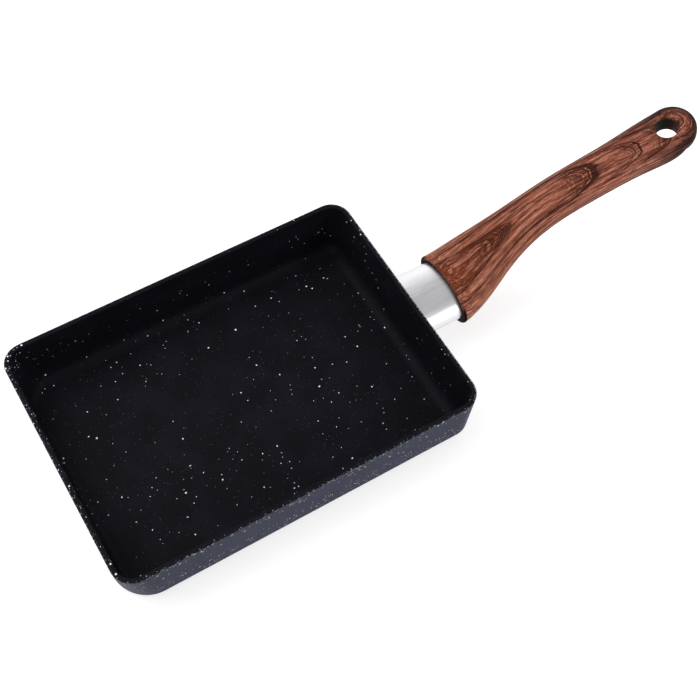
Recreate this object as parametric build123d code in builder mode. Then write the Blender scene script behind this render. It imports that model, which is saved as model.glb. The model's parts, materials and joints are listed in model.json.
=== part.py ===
from build123d import *
import os
from math import cos, pi, radians, sin, sqrt, tan

os.makedirs("parts", exist_ok=True)

# A small rectangular frying pan with a ferrule and a curved handle, in millimetres.
# X runs along the pan towards the handle, Y across it, Z up.
# The origin is the middle of the base's flat underside.

# Pan body: one pressed aluminium sheet with drafted walls
rim_length = 186.0
rim_width = 134.0
pan_depth = 35.0
pan_sheet = 2.5
wall_draft = 3.25
rim_corner_radius = 10.5
front_corner_radius = 19.5
rear_corner_radius = 9.0
base_edge_radius = 8.5
rim_edge_radius = 0.7
corner_margin = 0.3

# Ferrule: an oval aluminium tube between the wall and the handle
ferrule_width = 35.4
ferrule_height = 18.4
ferrule_sheet = 1.2
ferrule_drop = 12.7
ferrule_reach = 21.0
ferrule_insert = 3.0
ferrule_clearance = 0.3

# Handle: a moulded grip that leaves the ferrule level, rises and ends in a round eye
mouth_width = 42.0
mouth_height = 24.8
mouth_edge_radius = 0.9
waist_width = 21.8
waist_height = 17.0
eye_width = 24.6
eye_height = 12.4
eye_tilt = 15.0
neck_length = 55.0
neck_rise = 33.7
grip_length = 75.8
grip_rise = 13.2
hang_hole_radius = 5.85
hang_hole_inset = 3.1
hang_hole_rounding = 1.2

# Handle sections from mouth to waist, then from waist to eye: each row is the share along the
# stretch, then the shares of its rise and of its change in width and in height, and in the grip
# of the eye's tilt
neck_shares = (
    (0.0, 0.0, 0.0, 0.0),
    (0.19, 0.135, 0.16, 0.08),
    (0.405, 0.40, 0.48, 0.17),
    (0.667, 0.73, 0.85, 0.50),
    (1.0, 1.0, 1.0, 1.0),
)
grip_shares = (
    (0.275, 0.35, 0.0, 0.33, 0.0),
    (0.57, 0.58, 0.35, 0.65, 0.15),
    (0.83, 0.735, 1.4, 0.93, 0.6),
    (1.0, 1.0, 1.0, 1.0, 1.0),
)
# The power of the sections' ovals: 2 is an ellipse, more is fuller
mouth_power = 2.0
eye_power = 3.0
half_oval_steps = 8

# Bracket: a hat-shaped steel strip welded to the wall inside the ferrule
bracket_sheet = 2.0
bracket_height = 8.0
bracket_reach = 16.0
bracket_bridge_width = 18.0
bracket_bend_radius = 2.0
bracket_clearance = 0.3

# M5 screw, nut and washers that pull the handle against the ferrule
screw_diameter = 5.0
screw_length = 25.0
screw_head_diameter = 9.5
screw_head_height = 3.7
screw_head_rounding = 1.4
cross_length = 4.8
cross_width = 1.1
cross_depth = 2.0
screw_clearance = 0.25
thread_clearance = 0.1
screw_ledge = 6.0
nut_across_flats = 8.0
nut_height = 4.0
flat_washer_diameter = 10.0
flat_washer_height = 1.0
spring_washer_diameter = 9.2
spring_washer_height = 1.2
spring_washer_gap = 0.9
recess_clearance = 0.3
cut_overrun = 10.0

# Places worked out from the sizes above
wall_slope = tan(radians(wall_draft))
screw_axis_height = pan_depth - ferrule_drop
wall_x = rim_length / 2 - ferrule_drop * wall_slope
wall_plane = Plane(
    origin=(wall_x, 0, screw_axis_height),
    x_dir=(0, 1, 0),
    z_dir=(cos(radians(wall_draft)), 0, -sin(radians(wall_draft))),
)
mouth_x = rim_length / 2 + ferrule_reach
pocket_x = mouth_x + ferrule_insert
ledge_x = pocket_x + screw_ledge
spring_washer_x = ledge_x + flat_washer_height
head_x = spring_washer_x + spring_washer_height
waist_x = mouth_x + neck_length
waist_z = screw_axis_height + neck_rise
eye_x = waist_x + grip_length
eye_z = waist_z + grip_rise
hole_top = eye_height / 2
hole_straight = hole_top - hang_hole_rounding
hole_past = hole_top + cut_overrun
hole_flare = hang_hole_radius + hang_hole_rounding
bridge_x = wall_x + bracket_reach


def section_plane(x, z, tilt=0):
    """A plane across the part, with its own x to the side and its own y up, leaning back by the tilt."""
    lean = radians(tilt)
    return Plane(origin=(x, 0, z), x_dir=(0, 1, 0), z_dir=(cos(lean), 0, sin(lean)))


def between(start, end, share):
    """The value that lies this share of the way from start to end."""
    return start + (end - start) * share


def handle_sections():
    """Every section of the handle as x, z, tilt, width, height and the power of its oval."""
    rows = []
    for along, up, narrow, thin in neck_shares:
        rows.append((
            between(mouth_x, waist_x, along),
            between(screw_axis_height, waist_z, up),
            0,
            between(mouth_width, waist_width, narrow),
            between(mouth_height, waist_height, thin),
        ))
    for along, up, widen, thin, lean in grip_shares:
        rows.append((
            between(waist_x, eye_x, along),
            between(waist_z, eye_z, up),
            lean * eye_tilt,
            between(waist_width, eye_width, widen),
            between(waist_height, eye_height, thin),
        ))
    return [(*row, between(mouth_power, eye_power, (row[0] - mouth_x) / (eye_x - mouth_x))) for row in rows]


def half_oval(width, height, power):
    """Points down one side of an oval that grows fuller as its power passes 2."""
    points = []
    for step in range(half_oval_steps + 1):
        angle = pi / 2 - pi * step / half_oval_steps
        reach = (abs(cos(angle)) ** power + abs(sin(angle)) ** power) ** (-1 / power)
        points.append((width / 2 * reach * cos(angle), height / 2 * reach * sin(angle)))
    points[0] = (0, height / 2)
    points[-1] = (0, -height / 2)
    return points


# Pan body, lofted from the base to the rim with drafted walls: the front corners grow rounder
# towards the base, the rear ones a little tighter. A cavity of the same form then hollows it.
wall_across = pan_sheet / cos(radians(wall_draft))
outer_edge_radius = min(base_edge_radius, rear_corner_radius - corner_margin)


def pan_outline(height, inset):
    """The pan's outline at this height, inside its outer face by the inset."""
    shrink = (pan_depth - height) * wall_slope + inset
    share = height / pan_depth
    with BuildSketch(Plane.XY.offset(height)) as outline:
        Rectangle(rim_length - 2 * shrink, rim_width - 2 * shrink)
        front_radius = between(front_corner_radius, rim_corner_radius, share) - inset
        fillet(outline.vertices().group_by(Axis.X)[0], front_radius)
        rear_radius = between(rear_corner_radius, rim_corner_radius, share) - inset
        fillet(outline.vertices().group_by(Axis.X)[-1], rear_radius)
    return outline.sketch


with BuildPart() as pan_body:
    add(pan_outline(0, 0))
    add(pan_outline(pan_depth, 0))
    loft(ruled=True)
    fillet(pan_body.faces().sort_by(Axis.Z)[0].edges(), outer_edge_radius)
    add(pan_outline(pan_sheet, wall_across))
    add(pan_outline(pan_depth, wall_across))
    loft(ruled=True, mode=Mode.SUBTRACT)
    floor_face = pan_body.faces().filter_by(Axis.Z).sort_by(Axis.Z)[1]
    fillet(floor_face.edges(), outer_edge_radius - pan_sheet)
    rim_face = pan_body.faces().filter_by(Axis.Z).sort_by(Axis.Z)[-1]
    fillet(rim_face.edges(), min(rim_edge_radius, pan_sheet / 3))

# Ferrule, cut to the drafted wall at one end and square at the other
with BuildPart() as ferrule:
    with BuildSketch(section_plane(wall_x - cut_overrun, screw_axis_height)):
        Ellipse(ferrule_width / 2, ferrule_height / 2)
        Ellipse(ferrule_width / 2 - ferrule_sheet, ferrule_height / 2 - ferrule_sheet, mode=Mode.SUBTRACT)
    extrude(amount=pocket_x - wall_x + cut_overrun)
    split(bisect_by=wall_plane, keep=Keep.TOP)

# Handle: a loft along the neck and grip, closed by a turned round end
eye_plane = section_plane(eye_x, eye_z, eye_tilt)
hole_plane = Plane(
    origin=eye_plane.origin - eye_plane.z_dir * hang_hole_inset,
    x_dir=eye_plane.z_dir,
    z_dir=(0, -1, 0),
)
with BuildPart() as handle:
    for x, z, tilt, width, height, power in handle_sections():
        with BuildSketch(section_plane(x, z, tilt)):
            with BuildLine():
                side = Spline(*half_oval(width, height, power), tangents=((1, 0), (-1, 0)))
                mirror(side, about=Plane.YZ)
            make_face()
    loft()
    # the round end is the last section's half, turned about the eye's own axis
    with BuildSketch(eye_plane):
        with BuildLine():
            side = Spline(*half_oval(eye_width, eye_height, eye_power), tangents=((1, 0), (-1, 0)))
            Line(side @ 1, side @ 0)
        make_face()
    revolve(axis=Axis(eye_plane.origin, -eye_plane.y_dir), revolution_arc=180)
    # hang hole with rounded edges
    with BuildSketch(hole_plane):
        with BuildLine():
            Line((hang_hole_radius, -hole_straight), (hang_hole_radius, hole_straight))
            TangentArc((hang_hole_radius, hole_straight), (hole_flare, hole_top), tangent=(0, 1))
            Polyline(
                (hole_flare, hole_top),
                (hole_flare, hole_past),
                (0, hole_past),
                (0, -hole_past),
                (hole_flare, -hole_past),
                (hole_flare, -hole_top),
            )
            TangentArc((hole_flare, -hole_top), (hang_hole_radius, -hole_straight), tangent=(-1, 0))
        make_face()
    revolve(axis=Axis(hole_plane.origin, hole_plane.y_dir), mode=Mode.SUBTRACT)
    # oval pocket that takes the ferrule
    with BuildSketch(section_plane(mouth_x, screw_axis_height)):
        Ellipse(ferrule_width / 2 + ferrule_clearance, ferrule_height / 2 + ferrule_clearance)
    extrude(amount=ferrule_insert, mode=Mode.SUBTRACT)
    # screw hole, and the recess that its head goes up into from the underside
    with BuildSketch(section_plane(pocket_x, screw_axis_height)):
        Circle(screw_diameter / 2 + screw_clearance)
    extrude(amount=screw_ledge, mode=Mode.SUBTRACT)
    with BuildSketch(section_plane(ledge_x, screw_axis_height)):
        Circle(flat_washer_diameter / 2 + recess_clearance)
    extrude(amount=neck_length - ferrule_insert - screw_ledge, mode=Mode.SUBTRACT)
    front_face = handle.faces().filter_by(Axis.X).sort_by(Axis.X)[0]
    fillet(front_face.outer_wire().edges(), mouth_edge_radius)

# Bracket: foot, leg, bridge, leg, foot, with feet that reach to the ferrule's inside and are
# trimmed to the drafted wall
foot_x = wall_x - bracket_height / 2 * wall_slope + bracket_sheet / 2
bridge_line_x = bridge_x - bracket_sheet / 2
leg_y = bracket_bridge_width / 2 - bracket_sheet / 2
height_share = bracket_height / (ferrule_height - 2 * ferrule_sheet)
foot_y = (ferrule_width / 2 - ferrule_sheet) * sqrt(1 - height_share**2) - bracket_clearance
with BuildPart() as handle_bracket:
    with BuildSketch(Plane.XY.offset(screw_axis_height - bracket_height / 2)):
        with BuildLine():
            FilletPolyline(
                (foot_x, -foot_y),
                (foot_x, -leg_y),
                (bridge_line_x, -leg_y),
                (bridge_line_x, leg_y),
                (foot_x, leg_y),
                (foot_x, foot_y),
                radius=bracket_bend_radius,
            )
        trace(line_width=bracket_sheet)
    extrude(amount=bracket_height)
    with BuildSketch(section_plane(bridge_x, screw_axis_height)):
        Circle(screw_diameter / 2 + screw_clearance)
    extrude(amount=-bracket_sheet, mode=Mode.SUBTRACT)
    split(bisect_by=wall_plane, keep=Keep.TOP)

# Nut welded behind the bridge
nut_x = bridge_x - bracket_sheet - nut_height
with BuildPart() as bracket_nut:
    with BuildSketch(section_plane(nut_x, screw_axis_height)):
        RegularPolygon(nut_across_flats / 2, 6, major_radius=False)
        Circle(screw_diameter / 2 + thread_clearance, mode=Mode.SUBTRACT)
    extrude(amount=nut_height)

# Flat washer on the handle's ledge
with BuildPart() as flat_washer:
    with BuildSketch(section_plane(ledge_x, screw_axis_height)):
        Circle(flat_washer_diameter / 2)
        Circle(screw_diameter / 2 + screw_clearance, mode=Mode.SUBTRACT)
    extrude(amount=flat_washer_height)

# Split spring washer under the screw's head
with BuildPart() as spring_washer:
    with BuildSketch(section_plane(spring_washer_x, screw_axis_height)):
        Circle(spring_washer_diameter / 2)
        Circle(screw_diameter / 2 + thread_clearance, mode=Mode.SUBTRACT)
        with Locations((spring_washer_diameter / 2, 0)):
            Rectangle(spring_washer_diameter, spring_washer_gap, mode=Mode.SUBTRACT)
    extrude(amount=spring_washer_height)

# Pan-head screw with a cross recess
with BuildPart() as handle_screw:
    with BuildSketch(section_plane(head_x, screw_axis_height)):
        Circle(screw_head_diameter / 2)
    extrude(amount=screw_head_height)
    fillet(handle_screw.edges().sort_by(Axis.X)[-1], screw_head_rounding)
    with BuildSketch(section_plane(head_x, screw_axis_height)):
        Circle(screw_diameter / 2)
    extrude(amount=-screw_length)
    with BuildSketch(section_plane(head_x + screw_head_height, screw_axis_height)):
        Rectangle(cross_length, cross_width)
        Rectangle(cross_width, cross_length)
    extrude(amount=-cross_depth, mode=Mode.SUBTRACT)

pan_body.part.label = "pan_body"
export_step(pan_body.part, "parts/pan_body.step")
ferrule.part.label = "ferrule"
export_step(ferrule.part, "parts/ferrule.step")
handle.part.label = "handle"
export_step(handle.part, "parts/handle.step")
handle_bracket.part.label = "handle_bracket"
export_step(handle_bracket.part, "parts/handle_bracket.step")
bracket_nut.part.label = "bracket_nut"
export_step(bracket_nut.part, "parts/bracket_nut.step")
flat_washer.part.label = "flat_washer"
export_step(flat_washer.part, "parts/flat_washer.step")
spring_washer.part.label = "spring_washer"
export_step(spring_washer.part, "parts/spring_washer.step")
handle_screw.part.label = "handle_screw"
export_step(handle_screw.part, "parts/handle_screw.step")
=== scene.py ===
import json
from collections import namedtuple
from math import cos, radians, sin

import bpy
import numpy as np
from mathutils import Matrix, Vector


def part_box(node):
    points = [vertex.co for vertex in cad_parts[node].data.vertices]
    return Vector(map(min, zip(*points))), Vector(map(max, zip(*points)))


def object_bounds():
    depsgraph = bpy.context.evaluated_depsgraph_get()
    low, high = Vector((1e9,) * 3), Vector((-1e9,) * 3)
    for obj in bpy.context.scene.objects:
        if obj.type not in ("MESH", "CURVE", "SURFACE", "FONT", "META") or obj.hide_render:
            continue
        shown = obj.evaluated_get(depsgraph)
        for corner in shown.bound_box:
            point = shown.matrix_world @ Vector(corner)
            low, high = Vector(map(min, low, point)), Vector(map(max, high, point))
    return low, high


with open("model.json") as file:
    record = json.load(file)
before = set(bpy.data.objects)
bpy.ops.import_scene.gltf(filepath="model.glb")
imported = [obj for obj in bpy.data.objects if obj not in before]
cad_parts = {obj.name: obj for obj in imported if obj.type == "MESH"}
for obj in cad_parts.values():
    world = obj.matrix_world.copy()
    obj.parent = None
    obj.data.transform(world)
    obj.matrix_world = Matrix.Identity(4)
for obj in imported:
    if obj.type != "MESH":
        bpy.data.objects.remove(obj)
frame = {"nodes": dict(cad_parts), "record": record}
cad_low, cad_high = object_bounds()

# Kinds of values that the materials are made from, with lengths and places in metres
# Step: a soft change from one value to another, while what it follows goes from its start to its end
Step = namedtuple("Step", "start end before after", defaults=(0.0, 1.0))
# Noise: its scale is in cells per unit of place, one number or one for each axis
Noise = namedtuple("Noise", "scale detail roughness", defaults=(0.5,))
noise_middle = 0.5
# Layer: a colour that starts and is full at two levels of a noise, up to a greatest share
Layer = namedtuple("Layer", "start full share colour")
# Grains: one to a cell, from a small to a large radius, in a share of the cells that grows outside
Grains = namedtuple("Grains", "cell small large inside_share outside_growth")

# Camera, fitted to the rim's edges and the base's outline in the photograph
camera_place = Vector((-0.11422, -0.25822, 0.53736))
camera_forward = Vector((0.2846, 0.4204, -0.8616))
camera_roll = radians(-3.81)
camera_lens_mm = 63.39
camera_sensor_mm = 36.0
camera_clip_start = 0.01
camera_clip_end = 20.0

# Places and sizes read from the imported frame
handle_low, handle_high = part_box("handle")
pan_low, pan_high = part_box("pan_body")
screw_low, screw_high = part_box("handle_screw")
ferrule_low, ferrule_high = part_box("ferrule")
ferrule_half_height = (ferrule_high.z - ferrule_low.z) / 2
screw_axis_z = (screw_low.z + screw_high.z) / 2
rim_z = pan_high.z
mouth_x = handle_low.x
handle_length = handle_high.x - mouth_x
hang_hole = next(mount for mount in frame["record"]["mounts"] if mount["name"] == "hang_hole")
hole_centre = Vector(hang_hole["pos_m"])
hole_axis = Vector(hang_hole["axis"])
hole_radius = hang_hole["dims"]["r_mm"] / 1000

# Floor, surround and lamps
white = (1.0, 1.0, 1.0, 1.0)
floor_size = 6.0
floor_gap = 0.0002
floor_clear_reach = 3 * floor_gap
floor_colour = (0.55, 0.55, 0.55, 1.0)
floor_roughness = 0.9
floor_glow = 0.66
seen_level = 1.0
world_level = 0.62
# what metal mirrors, from low down to overhead
mirrored_step = Step(0.35, 0.85, before=1.45, after=0.54)
light_distance = 1.5
key_direction = (-0.5, 0.35, 1.0)
key_size = 1.1
key_power = 10.5
fill_direction = (0.6, -0.9, 0.7)
fill_size = 0.25
fill_power = 3.0

# Coating: the outside's faces look away from this point above the pan
point_above = Vector((0, 0, 0.2))
outside_step = Step(-0.004, 0.004)

# Coating: the front rim, by the distance from the pan's front and the depth below the rim's top, and how
# many times as dense as the outside it is
front_step = Step(0.020, 0.009)
front_depth_step = Step(0.014, 0.004)
front_density = 1.5

# Coating: a painted highlight along the rim's outer rounding, by the distance inside the rim's outline,
# which has round corners, and the depth below the rim's top. It shows where a noise passes a level, which
# falls beside the handle
rim_corner = 0.0105
rim_highlight_inset_step = Step(0.0010, 0.0006)
rim_highlight_depth_step = Step(0.0012, 0.0008)
rim_highlight_noise = Noise(800.0, 3.0, 0.8)
rim_highlight_level_step = Step(pan_high.x - rim_corner, pan_high.x, before=0.56, after=0.46)
rim_highlight_level_width = 0.10
rim_highlight_share = 0.6
rim_highlight_colour = (0.45, 0.45, 0.50, 1.0)

# Coating: grains, ground and finish
fine_grains = Grains(cell=0.0012, small=0.00015, large=0.00037, inside_share=0.04, outside_growth=0.34)
coarse_grains = Grains(cell=0.0026, small=0.00030, large=0.00056, inside_share=0.06, outside_growth=0.36)
dim_grains = Grains(cell=0.0011, small=0.00010, large=0.00030, inside_share=0.25, outside_growth=0.45)
grain_core_share = 0.65
grain_push_noise = Noise(1400.0, 2.0)
grain_push_reach = 0.0009
dim_grain_share = 0.4
dim_grain_colour = (0.10, 0.115, 0.18, 1.0)
pale_grain_colour = (0.95, 0.95, 0.97, 1.0)
cloud_noise = Noise(60.0, 3.0)
cluster_step = Step(0.35, 0.6, before=0.3, after=1.0)
inside_colour = (0.006, 0.0055, 0.0075, 1.0)
outside_colour = (0.043, 0.047, 0.086, 1.0)
coating_mottle = Layer(0.3, 0.7, 0.3, (0.012, 0.014, 0.022, 1.0))
grit_noise = Noise(2200.0, 2.0)
coating_roughness = Step(0.2, 0.8, before=0.40, after=0.52)
coating_specular = 0.035
coating_relief = 0.00003
grain_relief_share = 0.5

# Aluminium
scratch_noise = Noise((60.0, 2600.0, 2600.0), 4.0, 0.6)
patch_noise = Noise((70.0, 160.0, 160.0), 2.0)
aluminium_colour = (0.68, 0.68, 0.70, 1.0)
pale_scratches = Layer(0.3, 0.7, 1.0, (0.80, 0.80, 0.82, 1.0))
dull_patches = Layer(0.4, 0.7, 0.35, (0.60, 0.60, 0.63, 1.0))
scratch_roughness = Step(0.2, 0.8, before=0.24, after=0.36)
patch_roughness = 0.05
scratch_relief = 0.00001

# Zinc plate
blotch_noise = Noise(350.0, 3.0)
zinc_grit_noise = Noise(3000.0, 2.0)
zinc_colour = (0.58, 0.60, 0.62, 1.0)
pale_blotches = Layer(0.35, 0.65, 1.0, (0.70, 0.71, 0.70, 1.0))
zinc_roughness = Step(0.3, 0.7, before=0.25, after=0.42)
zinc_relief = 0.00001

# Wood look: the eye's middle, the sections that are measured and the turn of the arches' ridge
eye_past_hole = 0.003
eye_x = hole_centre.x + eye_past_hole
eye_share = (eye_x - mouth_x) / handle_length
section_count = 14
ridge_turn = radians(5)
ring_grain_step = Step(0.80, 0.92)

# Wood look: noise whose place is a share of the length, then shares of half the width and height
sway_noise = Noise((5.0, 1.6, 1.6), 2.0)
sway_share = 0.10
ripple_noise = Noise((14.0, 3.5, 3.5), 1.5)
ripple_share = 0.035
broad_streak_noise = Noise((0.6, 9.0, 9.0), 4.0, 0.6)
thin_streak_noise = Noise((0.8, 24.0, 24.0), 2.0, 0.55)
warmth_noise = Noise((3.0, 1.2, 1.2), 2.0)
strand_noise = Noise((6.0, 11.0, 11.0), 3.0, 0.6)
fibre_noise = Noise((30.0, 42.0, 42.0), 3.0, 0.65)
pore_noise = Noise((45.0, 60.0, 60.0), 2.0, 0.6)

# Wood look: arches, by the share of the length where they are
arch_power = 2.5
arch_reach_step = Step(0.0, 0.5, before=1.3, after=0.30)
arch_eye_step = Step(0.78, eye_share, before=0.0, after=0.15)
arch_line_noise = Noise(95.0, 2.0)
arch_line_step = Step(0.40, 0.54, before=0.2, after=1.0)
whole_line_step = Step(0.86, 1.0, before=0.0, after=0.9)
arch_contrast_step = Step(0.05, 0.95)
top_side_step = Step(0.95, 0.65)
top_height_step = Step(0.0, 0.3)
# Depth of the arches' dark lines, by the share of the length where their tips lie
arch_depths = (
    (0.00, 0.25),
    (0.08, 0.25),
    (0.14, 0.62),
    (0.215, 0.86),
    (0.245, 0.10),
    (0.39, 0.10),
    (0.47, 0.50),
    (0.52, 0.80),
    (0.588, 1.00),
    (0.606, 0.10),
    (0.68, 0.15),
    (0.72, 0.60),
    (0.762, 1.00),
    (0.780, 0.15),
    (0.84, 0.50),
    (0.885, 1.00),
    (0.90, 0.40),
    (0.935, 0.05),
    (0.97, 0.40),
    (1.00, 0.90),
)
# Colour of the wood between the arches' lines, laid out the same way
arch_colours = (
    (0.00, (0.225, 0.046, 0.013)),
    (0.19, (0.235, 0.051, 0.017)),
    (0.30, (0.460, 0.162, 0.099)),
    (0.50, (0.380, 0.113, 0.064)),
    (0.60, (0.230, 0.067, 0.042)),
    (0.64, (0.460, 0.151, 0.090)),
    (0.77, (0.300, 0.092, 0.058)),
    (0.82, (0.400, 0.130, 0.081)),
    (1.00, (0.270, 0.086, 0.052)),
)

# Wood look: streaks down the sides and rings round the hang hole
mouth_fade_step = Step(0.02, 0.30, before=0.5, after=1.0)
broad_streak_step = Step(0.51, 0.60)
thin_streak_step = Step(0.53, 0.60, before=0.0, after=0.75)
ring_bend_share = 1.5
ring_noise = Noise(8.0, 3.0, 0.65)
ring_line_step = Step(0.50, 0.58)
ring_start_step = Step(0.78, 0.92, before=0.0, after=0.85)

# Wood look: colours, from the ground up
side_colour = (0.96, 0.430, 0.300, 1.0)
warm_stretches = Layer(0.4, 0.6, 1.0, (0.72, 0.270, 0.172, 1.0))
dark_strands = Layer(0.48, 0.58, 0.85, (0.110, 0.031, 0.018, 1.0))
pale_strands = Layer(0.46, 0.37, 0.65, (0.760, 0.320, 0.220, 1.0))
pale_fibres = Layer(0.44, 0.34, 0.35, (0.820, 0.380, 0.270, 1.0))
dark_fibres = Layer(0.47, 0.57, 0.65, (0.080, 0.022, 0.014, 1.0))
line_share = 0.93
line_colour = (0.026, 0.009, 0.006, 1.0)
open_pores = Layer(0.58, 0.66, 0.6, (0.020, 0.009, 0.007, 1.0))
# dark colour of the painted shade along the handle's far side, low edges and tip
edge_shade_colour = (0.024, 0.010, 0.009, 1.0)
# black of the core, also used for the painted shade on the mouth's lip and in the hang hole
core_and_shade_colour = (0.004, 0.0015, 0.001, 1.0)
wood_roughness = Step(0.2, 0.8, before=0.42, after=0.54)
wood_specular = 0.025
wood_relief = 0.00004
pore_relief_share = 0.5

# Wood look: painted shade along the edges, at shares of the section and of the length
far_side_step = Step(0.6, 0.95)
far_along_step = Step(0.1, 0.5, before=0.0, after=0.75)
low_top_step = Step(-0.05, -0.35)
low_bottom_step = Step(-0.9, -0.55)
low_along_step = Step(0.25, 0.6, before=0.0, after=0.75)
tip_shift_x = 0.0016
tip_shift_y = 0.0012
tip_fray_share = 0.5
tip_along_step = Step(0.72, 0.9)
tip_band_step = Step(0.54, 0.82, before=0.0, after=0.9)

# Wood look: black core in the pocket and painted shade on the lip of the mouth, by the share of the ring
# round the ferrule, the depth into the mouth, the distance to the side and the depth below the screw's axis
mouth_ring = 0.0015
pocket_step = Step(1.04, 1.0)
pocket_depth_step = Step(0.0045, 0.0040)
lip_side_step = Step(0.0150, 0.0195)
lip_low_step = Step(0.004, 0.010)
lip_depth_step = Step(0.0012, 0.0006)

# Wood look: black core and painted shade in the hang hole, by the distance past its edge, the distance from
# its middle along its axis and the share of its radius towards the lit side, where the print shows, and
# black core in the screw's recess
hole_edge_step = Step(0.0005, 0.0)
hole_depth_step = Step(0.0056, 0.0030)
hole_lit_direction = (0.83, -0.56, 0.0)
hole_lit_side_step = Step(1.0, 0.4, before=0.72, after=0.98)
recess_step = Step(0.0058, 0.0055)


class Tree:
    """A node tree, with short calls that add a node and give back its output."""

    def __init__(self, owner, shader, coordinates):
        owner.use_nodes = True
        self.owner = owner
        self.nodes = owner.node_tree.nodes
        self.links = owner.node_tree.links
        self.shader = self.nodes[shader]
        outputs = self.add("ShaderNodeTexCoord").outputs
        self.place = outputs[coordinates]
        self.normal = outputs["Normal"]
        parts = self.add("ShaderNodeSeparateXYZ")
        self.feed(parts.inputs[0], self.place)
        self.x, self.y, self.z = parts.outputs

    def add(self, kind, **settings):
        """A new node with those settings."""
        node = self.nodes.new(kind)
        for key, value in settings.items():
            setattr(node, key, value)
        return node

    def feed(self, socket, value):
        """Links an output to the socket, or gives the socket a plain value."""
        if isinstance(value, bpy.types.NodeSocket):
            self.links.new(value, socket)
        else:
            socket.default_value = value

    def set(self, **values):
        """Feeds the shader's own sockets, named with _ for each space."""
        for key, value in values.items():
            self.feed(self.shader.inputs[key.replace("_", " ")], value)

    def math(self, operation, *values):
        """An operation on numbers."""
        node = self.add("ShaderNodeMath", operation=operation)
        for socket, value in zip(node.inputs, values):
            self.feed(socket, value)
        return node.outputs[0]

    def chain(self, operation, values):
        """An operation on two numbers, repeated over as many as are given."""
        result = values[0]
        for value in values[1:]:
            result = self.math(operation, result, value)
        return result

    def total(self, *values):
        return self.chain("ADD", values)

    def product(self, *values):
        return self.chain("MULTIPLY", values)

    def largest(self, *values):
        return self.chain("MAXIMUM", values)

    def minus(self, first, second):
        return self.math("SUBTRACT", first, second)

    def over(self, first, second):
        return self.math("DIVIDE", first, second)

    def vector(self, operation, *values):
        """An operation on vectors."""
        node = self.add("ShaderNodeVectorMath", operation=operation)
        for socket, value in zip(node.inputs, values):
            self.feed(socket, value)
        return node.outputs["Value"] if operation in ("DOT_PRODUCT", "LENGTH") else node.outputs[0]

    def distance(self, first, second):
        """Length of a line that goes so far one way and so far square to it."""
        return self.vector("LENGTH", self.join(first, second, 0.0))

    def join(self, x, y, z):
        """The vector with those parts."""
        node = self.add("ShaderNodeCombineXYZ")
        for socket, value in zip(node.inputs, (x, y, z)):
            self.feed(socket, value)
        return node.outputs[0]

    def smooth(self, value, step):
        """The soft step's value where what it follows has this value."""
        node = self.add("ShaderNodeMapRange", interpolation_type="SMOOTHSTEP")
        for socket, given in zip(node.inputs, (value, *step)):
            self.feed(socket, given)
        return node.outputs[0]

    def noise_node(self, scale, detail, roughness, **settings):
        """A new noise node, whose place is still to be fed."""
        node = self.add("ShaderNodeTexNoise", **settings)
        node.inputs["Scale"].default_value = scale
        node.inputs["Detail"].default_value = detail
        node.inputs["Roughness"].default_value = roughness
        return node

    def noise(self, place, noise, shift=(0.0, 0.0, 0.0)):
        """Noise in space. Where it has a scale for each axis, it can be shifted by so many cells."""
        scale = noise.scale
        if isinstance(scale, tuple):
            place = self.vector("ADD", self.vector("MULTIPLY", place, scale), shift)
            scale = 1.0
        node = self.noise_node(scale, noise.detail, noise.roughness)
        self.feed(node.inputs["Vector"], place)
        return node.outputs[0]

    def lines(self, value, noise):
        """Noise along one number only, so it draws lines where that number is even."""
        node = self.noise_node(*noise, noise_dimensions="1D")
        self.feed(node.inputs["W"], value)
        return node.outputs[0]

    def mix(self, share, first, second):
        """A colour between two."""
        node = self.add("ShaderNodeMix", data_type="RGBA")
        for number, value in zip((0, 6, 7), (share, first, second)):
            self.feed(node.inputs[number], value)
        return node.outputs[2]

    def mix_numbers(self, share, first, second):
        """A number between two."""
        node = self.add("ShaderNodeMix")
        for number, value in zip((0, 2, 3), (share, first, second)):
            self.feed(node.inputs[number], value)
        return node.outputs[0]

    def lay(self, under, noise, layer, within=1.0):
        """A colour with a layer over it, where the noise reaches the layer's levels within an area."""
        share = self.smooth(noise, Step(layer.start, layer.full, 0.0, layer.share))
        return self.mix(self.product(share, within), under, layer.colour)

    def ramp(self, share, stops):
        """Colours along a ramp, given as (place, colour) pairs."""
        node = self.add("ShaderNodeValToRGB")
        points = node.color_ramp.elements
        # new points start halfway, and then all are set in order
        while len(points) < len(stops):
            points.new(0.5)
        for point, (place, colour) in zip(points, stops):
            point.position = place
            point.color = (*colour, 1.0)
        self.feed(node.inputs[0], share)
        return node.outputs[0]

    def curve(self, share, points):
        """A smooth curve through (place, value) pairs, both from 0 to 1."""
        node = self.add("ShaderNodeFloatCurve")
        line = node.mapping.curves[0]
        # new points start halfway, and then all are set in order
        while len(line.points) < len(points):
            line.points.new(0.5, 0.5)
        for point, place in zip(line.points, points):
            point.location = place
        node.mapping.extend = "HORIZONTAL"
        node.mapping.update()
        self.feed(node.inputs["Value"], share)
        return node.outputs[0]

    def bump(self, height, distance):
        """Relief that stands out by up to the distance."""
        node = self.add("ShaderNodeBump")
        self.feed(node.inputs["Height"], height)
        node.inputs["Distance"].default_value = distance
        self.feed(self.shader.inputs["Normal"], node.outputs[0])


class Surface(Tree):
    """The tree of a new material, with places in the part's own frame."""

    def __init__(self, name):
        super().__init__(bpy.data.materials.new(name), "Principled BSDF", "Object")


def outside_share(tree):
    """1 on the faces that look away from a point above the pan, which are its outside, and 0 inside."""
    outward = tree.vector("DOT_PRODUCT", tree.normal, tree.vector("SUBTRACT", tree.place, point_above))
    return tree.smooth(outward, outside_step)


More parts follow.
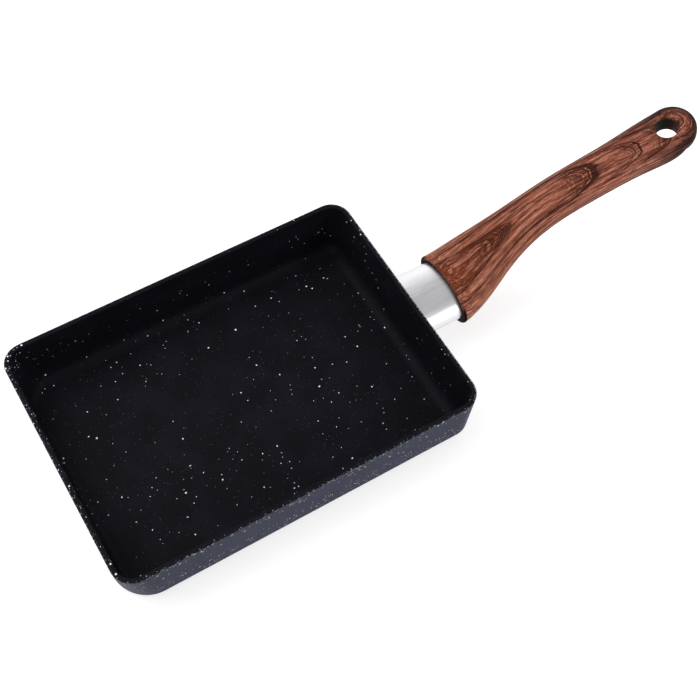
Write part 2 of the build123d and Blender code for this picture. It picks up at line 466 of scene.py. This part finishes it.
def pushed_place(tree):
    """The place, pushed about a little so that no grain is a plain disc."""
    noise = tree.noise_node(*grain_push_noise)
    tree.feed(noise.inputs["Vector"], tree.place)
    push = tree.add("ShaderNodeVectorMath", operation="SCALE")
    tree.feed(push.inputs[0], tree.vector("SUBTRACT", noise.outputs["Color"], (noise_middle,) * 3))
    push.inputs["Scale"].default_value = grain_push_reach
    return tree.vector("ADD", tree.place, push.outputs[0])


def specks(tree, place, dense, grains):
    """Grains of one kind, which lie in more of their cells where the coating is dense."""
    cells = tree.add("ShaderNodeTexVoronoi")
    tree.feed(cells.inputs["Vector"], place)
    cells.inputs["Scale"].default_value = 1 / grains.cell
    chances = tree.add("ShaderNodeSeparateColor")
    tree.feed(chances.inputs[0], cells.outputs["Color"])
    size_chance, kept_chance = chances.outputs[:2]
    sizes = Step(0.0, 1.0, before=grains.small / grains.cell, after=grains.large / grains.cell)
    radius = tree.smooth(size_chance, sizes)
    core = tree.product(radius, grain_core_share)
    grain = tree.smooth(cells.outputs["Distance"], Step(radius, core))
    kept_share = tree.math("MULTIPLY_ADD", dense, grains.outside_growth, grains.inside_share)
    return tree.product(grain, tree.math("LESS_THAN", kept_chance, kept_share))


def coating_grains(tree, outside, cloud):
    """Pale and dim grains, densest on the outside and over the front rim."""
    at_front = tree.smooth(tree.minus(tree.x, pan_low.x), front_step)
    at_rim = tree.smooth(tree.minus(rim_z, tree.z), front_depth_step)
    dense = tree.largest(outside, tree.product(at_front, at_rim, front_density))
    place = pushed_place(tree)
    fine = specks(tree, place, dense, fine_grains)
    clustered = tree.product(fine, tree.smooth(cloud, cluster_step))
    pale = tree.largest(clustered, specks(tree, place, dense, coarse_grains))
    dim = specks(tree, place, dense, dim_grains)
    return pale, dim


def painted_rim_highlight(tree):
    """Painted highlight: a broken pale line along the rim's outer edge, most whole beside the handle."""
    past_straights = []
    for value, half_size in ((tree.x, pan_high.x), (tree.y, pan_high.y)):
        past = tree.minus(tree.math("ABSOLUTE", value), half_size - rim_corner)
        past_straights.append(tree.largest(past, 0.0))
    at_outline = tree.smooth(tree.minus(rim_corner, tree.distance(*past_straights)), rim_highlight_inset_step)
    at_top = tree.smooth(tree.minus(rim_z, tree.z), rim_highlight_depth_step)
    start = tree.smooth(tree.x, rim_highlight_level_step)
    highlight_levels = Step(start, tree.total(start, rim_highlight_level_width))
    return tree.product(at_outline, at_top, tree.smooth(tree.noise(tree.place, rim_highlight_noise), highlight_levels))


def speckled_coating():
    """Non-stick coating: black inside and on the rim, bluish grey outside, with pale stone specks."""
    tree = Surface("speckled_coating")
    outside = outside_share(tree)
    cloud = tree.noise(tree.place, cloud_noise)
    pale, dim = coating_grains(tree, outside, cloud)
    ground = tree.lay(tree.mix(outside, inside_colour, outside_colour), cloud, coating_mottle)
    dimmed = tree.mix(tree.product(dim, dim_grain_share), ground, dim_grain_colour)
    specked = tree.mix(pale, dimmed, pale_grain_colour)
    # a painted highlight, laid as a pale broken line along the rim's outer edge
    colour = tree.mix(tree.product(painted_rim_highlight(tree), rim_highlight_share), specked, rim_highlight_colour)
    grit = tree.noise(tree.place, grit_noise)
    tree.set(Base_Color=colour, Roughness=tree.smooth(grit, coating_roughness))
    tree.set(Specular_IOR_Level=coating_specular)
    tree.bump(tree.total(grit, tree.product(pale, grain_relief_share)), coating_relief)
    return tree.owner


def brushed_aluminium():
    """Satin tube with fine scratches along it."""
    tree = Surface("brushed_aluminium")
    scratches = tree.noise(tree.place, scratch_noise)
    patches = tree.noise(tree.place, patch_noise)
    scratched = tree.lay(aluminium_colour, scratches, pale_scratches)
    rough = tree.total(tree.smooth(scratches, scratch_roughness), tree.product(patches, patch_roughness))
    tree.set(Base_Color=tree.lay(scratched, patches, dull_patches), Metallic=1.0, Roughness=rough)
    tree.bump(scratches, scratch_relief)
    return tree.owner


def zinc_steel():
    """Bright zinc plate with a faint blotchy tone."""
    tree = Surface("zinc_steel")
    blotches = tree.noise(tree.place, blotch_noise)
    colour = tree.lay(zinc_colour, blotches, pale_blotches)
    tree.set(Base_Color=colour, Metallic=1.0, Roughness=tree.smooth(blotches, zinc_roughness))
    tree.bump(tree.noise(tree.place, zinc_grit_noise), zinc_relief)
    return tree.owner


def section_of(mesh, x):
    """Centre height, half width and half height of the mesh where the plane at x cuts it."""
    points = np.array([vertex.co for vertex in mesh.vertices])
    edges = np.array([edge.vertices for edge in mesh.edges])
    start = points[edges[:, 0]]
    end = points[edges[:, 1]]
    crossing = (start[:, 0] - x) * (end[:, 0] - x) < 0
    start = start[crossing]
    end = end[crossing]
    share = (x - start[:, 0]) / (end[:, 0] - start[:, 0])
    cut = start + (end - start) * share[:, None]
    low = cut[:, 2].min()
    high = cut[:, 2].max()
    return (low + high) / 2, np.abs(cut[:, 1]).max(), (high - low) / 2


class HandleSurface(Surface):
    """The handle's tree, which also has places as shares of its length and of its section."""

    def __init__(self, name):
        super().__init__(name)
        self.whole_way = self.over(self.minus(self.x, mouth_x), handle_length)
        self.along = self.math("MINIMUM", self.whole_way, eye_share)
        self.measure_section()
        self.turn_to_ridge()
        self.at_eye = self.smooth(self.whole_way, ring_grain_step)
        self.on_top = self.product(
            self.smooth(self.off_ridge, top_side_step),
            self.smooth(self.upward, top_height_step),
        )

    def measure_section(self):
        """Finds the side and the rise, which are shares of half the section's width and height."""
        mesh = frame["nodes"]["handle"].data
        shares = [(number + 0.5) / section_count * eye_share for number in range(section_count)]
        sections = [section_of(mesh, mouth_x + share * handle_length) for share in shares]
        sizes = [self.curve(self.along, list(zip(shares, column))) for column in zip(*sections)]
        centre, self.half_width, half_height = sizes
        # past the eye's middle the distance from it takes the place of the distance from the axis
        self.past_eye = self.largest(self.minus(self.x, eye_x), 0.0)
        off_middle = self.distance(self.past_eye, self.y)
        self.side = self.product(self.over(off_middle, self.half_width), self.math("SIGN", self.y))
        self.rise = self.over(self.minus(self.z, centre), half_height)

    def turn_to_ridge(self):
        """Turns the section, so that the arches are centred on the side of the top that faces the camera."""
        turn_cos = cos(ridge_turn)
        turn_sin = sin(ridge_turn)
        across = self.total(self.product(self.side, turn_cos), self.product(self.rise, turn_sin))
        self.upward = self.minus(self.product(self.rise, turn_cos), self.product(self.side, turn_sin))
        self.off_ridge = self.math("ABSOLUTE", across)
        self.straight = self.join(self.along, across, self.upward)
        self.ringed = self.join(self.along, self.off_ridge, self.upward)

    def grain(self, noise, shift=(0.0, 0.0, 0.0)):
        """Noise that runs straight along the grip and in mirrored rings round the eye."""
        levels = [self.noise(place, noise, shift) for place in (self.straight, self.ringed)]
        return self.mix_numbers(self.at_eye, *levels)

    def wobble(self, noise, share):
        """Noise about zero, from minus to plus half the share."""
        return self.product(self.minus(noise, noise_middle), share)


def arch_places(wood, bend):
    """Shares of the length at which the arches' tips lie, even along each arch."""
    reach = wood.minus(wood.smooth(wood.along, arch_reach_step), wood.smooth(wood.along, arch_eye_step))
    bow = wood.product(wood.math("POWER", wood.off_ridge, arch_power), reach)
    return wood.total(wood.along, bow, bend)


def arch_darkness(wood, arches):
    """Dark lines along the arches, which are whole where they are deepest."""
    depth = wood.ramp(arches, [(place, (value, value, value)) for place, value in arch_depths])
    thin_lines = wood.smooth(wood.lines(arches, arch_line_noise), arch_line_step)
    whole_lines = wood.smooth(depth, whole_line_step)
    lines = wood.product(depth, wood.largest(thin_lines, whole_lines))
    return wood.smooth(lines, arch_contrast_step)


def streak_darkness(wood, bend, mouth_fade):
    """Broad and thin streaks down the sides and under the grip, fainter near the mouth."""
    shift = wood.join(0.0, bend, bend)
    broad = wood.smooth(wood.grain(broad_streak_noise, shift), broad_streak_step)
    thin = wood.smooth(wood.grain(thin_streak_noise, shift), thin_streak_step)
    return wood.product(mouth_fade, wood.largest(broad, thin))


def figure_darkness(wood, arches, bend, mouth_fade, rings):
    """Arches on top, streaks down the sides, and rings that part round the hang hole."""
    streaks = streak_darkness(wood, bend, mouth_fade)
    figure = wood.mix_numbers(wood.on_top, streaks, arch_darkness(wood, arches))
    eye_rings = wood.product(
        wood.smooth(rings, ring_line_step),
        wood.smooth(wood.whole_way, ring_start_step),
    )
    return wood.largest(figure, eye_rings)


def bare_wood(wood, arches, mouth_fade, fibres):
    """The ground colour with ever thinner strands and fibres along the grain."""
    sides = wood.lay(side_colour, wood.grain(warmth_noise), warm_stretches)
    ground = wood.mix(wood.on_top, sides, wood.ramp(arches, arch_colours))
    strands = wood.grain(strand_noise)
    stranded = wood.lay(ground, strands, dark_strands, mouth_fade)
    lit = wood.lay(stranded, strands, pale_strands)
    return wood.lay(wood.lay(lit, fibres, pale_fibres), fibres, dark_fibres)


def painted_tip_shade(wood, rings):
    """Painted shade: a dark band round the tip, frayed by the rings and set a little off the eye's middle.
    """
    shifted_x = wood.total(wood.past_eye, tip_shift_x)
    shifted_y = wood.total(wood.y, tip_shift_y)
    reach = wood.over(wood.distance(shifted_x, shifted_y), wood.half_width)
    frayed = wood.total(reach, wood.wobble(rings, tip_fray_share))
    return wood.product(wood.smooth(wood.whole_way, tip_along_step), wood.smooth(frayed, tip_band_step))


def painted_edge_shade(wood, rings):
    """Painted shade, darker along the far side, low down both sides, and round the tip."""
    far_shade = wood.product(wood.smooth(wood.side, far_side_step), wood.smooth(wood.along, far_along_step))
    low_shade = wood.product(
        wood.smooth(wood.upward, low_top_step),
        wood.smooth(wood.upward, low_bottom_step),
        wood.smooth(wood.along, low_along_step),
    )
    return wood.largest(low_shade, far_shade, painted_tip_shade(wood, rings))


def pocket_core_and_lip_shade(wood):
    """Black core in the pocket round the ferrule, and painted shade in the same black on the mouth's lip at
    its sides and bottom.
    """
    ring_y = wood.over(wood.y, ferrule_high.y + mouth_ring)
    ring_z = wood.over(wood.minus(wood.z, screw_axis_z), ferrule_half_height + mouth_ring)
    in_ring = wood.smooth(wood.distance(ring_y, ring_z), pocket_step)
    depth = wood.minus(wood.x, mouth_x)
    in_pocket = wood.product(in_ring, wood.smooth(depth, pocket_depth_step))
    at_side = wood.smooth(wood.math("ABSOLUTE", wood.y), lip_side_step)
    low_down = wood.smooth(wood.minus(screw_axis_z, wood.z), lip_low_step)
    # painted shade on the lip's sides and bottom, in the core's black
    lip_shade = wood.product(wood.largest(at_side, low_down), wood.smooth(depth, lip_depth_step))
    return wood.largest(in_pocket, lip_shade)


def hole_core_and_shade(wood):
    """Black core deep in the hang hole, with painted shade over its wall except on the lit side, where a
    little of the print still shows.
    """
    from_centre = wood.vector("SUBTRACT", wood.place, hole_centre)
    off_axis = wood.vector("LENGTH", wood.vector("CROSS_PRODUCT", from_centre, hole_axis))
    from_middle = wood.math("ABSOLUTE", wood.vector("DOT_PRODUCT", from_centre, hole_axis))
    towards_lit_side = wood.vector("DOT_PRODUCT", from_centre, hole_lit_direction)
    # black core deep in the bore, and painted shade on the wall away from the lit side
    return wood.product(
        wood.smooth(wood.minus(off_axis, hole_radius), hole_edge_step),
        wood.smooth(wood.over(towards_lit_side, hole_radius), hole_lit_side_step),
        wood.smooth(from_middle, hole_depth_step),
    )


def core_and_shade_share(wood):
    """Where the black core shows, in the mouth, in the hang hole and in the screw's recess, together with
    painted shade in the same black on the mouth's lip and the hang hole's wall.
    """
    off_screw = wood.distance(wood.y, wood.minus(wood.z, screw_axis_z))
    in_recess = wood.smooth(off_screw, recess_step)
    return wood.largest(pocket_core_and_lip_shade(wood), hole_core_and_shade(wood), in_recess)


def wood_look():
    """Printed rosewood look over a black moulding: arched loops along the top, streaks down the sides."""
    wood = HandleSurface("wood_look_handle")
    sway = wood.wobble(wood.grain(sway_noise), sway_share)
    ripple = wood.wobble(wood.grain(ripple_noise), ripple_share)
    bend = wood.total(sway, ripple)
    arches = arch_places(wood, bend)
    rings = wood.lines(wood.total(wood.off_ridge, wood.product(bend, ring_bend_share)), ring_noise)
    mouth_fade = wood.smooth(wood.along, mouth_fade_step)
    fibres = wood.grain(fibre_noise)
    pores = wood.grain(pore_noise)
    figure = figure_darkness(wood, arches, bend, mouth_fade, rings)
    ground = bare_wood(wood, arches, mouth_fade, fibres)
    lined = wood.mix(wood.product(figure, line_share), ground, line_colour)
    pored = wood.lay(lined, pores, open_pores)
    # painted shade along the far side, low down both sides and round the tip
    edge_shaded = wood.mix(painted_edge_shade(wood, rings), pored, edge_shade_colour)
    # black core, and painted shade in the same black on the mouth's lip and the hang hole's wall
    colour = wood.mix(core_and_shade_share(wood), edge_shaded, core_and_shade_colour)
    wood.set(Base_Color=colour, Roughness=wood.smooth(fibres, wood_roughness))
    wood.set(Specular_IOR_Level=wood_specular)
    wood.bump(wood.total(fibres, wood.product(pores, pore_relief_share)), wood_relief)
    return wood.owner


def dress(node, material):
    """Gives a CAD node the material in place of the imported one."""
    slots = frame["nodes"][node].data.materials
    slots.clear()
    slots.append(material)


def make_clear(tree, share):
    """Lets light through a surface by a share, past its own shader."""
    clear = tree.add("ShaderNodeBsdfTransparent")
    blend = tree.add("ShaderNodeMixShader")
    tree.feed(blend.inputs[0], share)
    tree.feed(blend.inputs[1], tree.shader.outputs[0])
    tree.feed(blend.inputs[2], clear.outputs[0])
    tree.feed(tree.nodes["Material Output"].inputs[0], blend.outputs[0])


def paper_floor():
    """A pale floor just under the base, which keeps the shadow and lets the underside show from below."""
    bpy.ops.mesh.primitive_plane_add(size=floor_size, location=(0, 0, cad_low.z - floor_gap))
    floor = bpy.context.object
    floor.name = "floor"
    tree = Surface("floor_paper")
    path = tree.add("ShaderNodeLightPath").outputs
    seen = tree.largest(path["Is Camera Ray"], path["Is Glossy Ray"], path["Is Transmission Ray"])
    tree.set(Base_Color=floor_colour, Roughness=floor_roughness, Specular_IOR_Level=0.0)
    tree.set(Emission_Color=white, Emission_Strength=tree.product(seen, floor_glow))
    # its back is clear, and so is all of it to short rays from the base, so that light reaches the underside
    back = tree.add("ShaderNodeNewGeometry").outputs["Backfacing"]
    near_base = tree.math("LESS_THAN", path["Ray Length"], floor_clear_reach)
    make_clear(tree, tree.largest(back, near_base))
    floor.data.materials.append(tree.owner)


def pale_surround():
    """A surround that is white to the camera, and that metal mirrors, brighter low down than overhead."""
    world = bpy.data.worlds.new("studio")
    bpy.context.scene.world = world
    tree = Tree(world, "Background", "Generated")
    path = tree.add("ShaderNodeLightPath").outputs
    mirrored = tree.smooth(tree.z, mirrored_step)
    unseen = tree.mix_numbers(path["Is Glossy Ray"], world_level, mirrored)
    seen = tree.largest(path["Is Camera Ray"], path["Is Transmission Ray"])
    tree.set(Color=white, Strength=tree.mix_numbers(seen, unseen, seen_level))


def soft_light(name, direction, size, power):
    """A square soft box that looks at the middle of the part from that direction."""
    light = bpy.data.lights.new(name, "AREA")
    light.size = size
    light.energy = power
    holder = bpy.data.objects.new(name, light)
    bpy.context.scene.collection.objects.link(holder)
    middle = (cad_low + cad_high) / 2
    away = Vector(direction).normalized()
    holder.location = middle + away * light_distance
    holder.rotation_euler = away.to_track_quat("Z", "Y").to_euler()


def photo_camera():
    """The photograph's camera, from its place, direction and roll."""
    forward = camera_forward.normalized()
    level_right = forward.cross(Vector((0, 0, 1))).normalized()
    level_up = level_right.cross(forward)
    turn = Matrix.Rotation(camera_roll, 3, forward)
    right = turn @ level_right
    up = turn @ level_up
    camera = bpy.data.objects.new("photo_camera", bpy.data.cameras.new("photo_camera"))
    bpy.context.scene.collection.objects.link(camera)
    axes = Matrix((right, up, -forward)).transposed()
    camera.matrix_world = Matrix.Translation(camera_place) @ axes.to_4x4()
    camera.data.sensor_width = camera_sensor_mm
    camera.data.lens = camera_lens_mm
    camera.data.clip_start = camera_clip_start
    camera.data.clip_end = camera_clip_end
    bpy.context.scene.camera = camera


dress("pan_body", speckled_coating())
dress("ferrule", brushed_aluminium())
dress("handle", wood_look())
zinc = zinc_steel()
for node in ("handle_bracket", "bracket_nut", "flat_washer", "spring_washer", "handle_screw"):
    dress(node, zinc)

paper_floor()
pale_surround()
soft_light("key", key_direction, key_size, key_power)
soft_light("fill", fill_direction, fill_size, fill_power)
photo_camera()
bpy.context.scene.view_settings.view_transform = "Standard"
